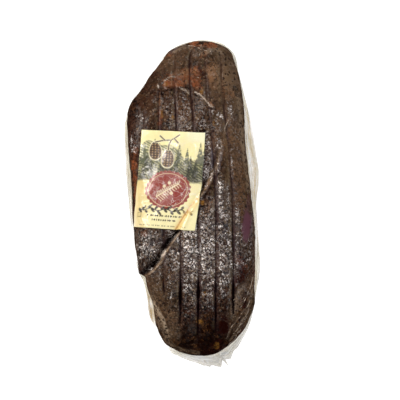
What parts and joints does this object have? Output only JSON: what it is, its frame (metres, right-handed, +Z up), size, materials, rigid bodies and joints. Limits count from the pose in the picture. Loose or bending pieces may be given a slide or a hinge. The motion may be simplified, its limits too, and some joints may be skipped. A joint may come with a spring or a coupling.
{
  "type": "vacuum-packed venison prosciutto",
  "caption": "Boneless cured venison ham, pressed into a long loaf with lengthwise grooves, in tight clear vacuum film with a paper label.",
  "frame": {"origin": "on the table, under the middle of the bounding box", "axes": "+Y along the ham towards its slim end, +Z up out of the labelled side"},
  "size_m": [0.1364, 0.325, 0.0794],
  "materials": {
    "cured_meat": "dark cured crust under clinging clear film",
    "clear_film": "clear, crinkled",
    "label_paper": "printed, satin"
  },
  "bodies": {
    "root": {"ham": "cured_meat", "bag_film": "clear_film", "label": "label_paper"}
  },
  "joints": []
}
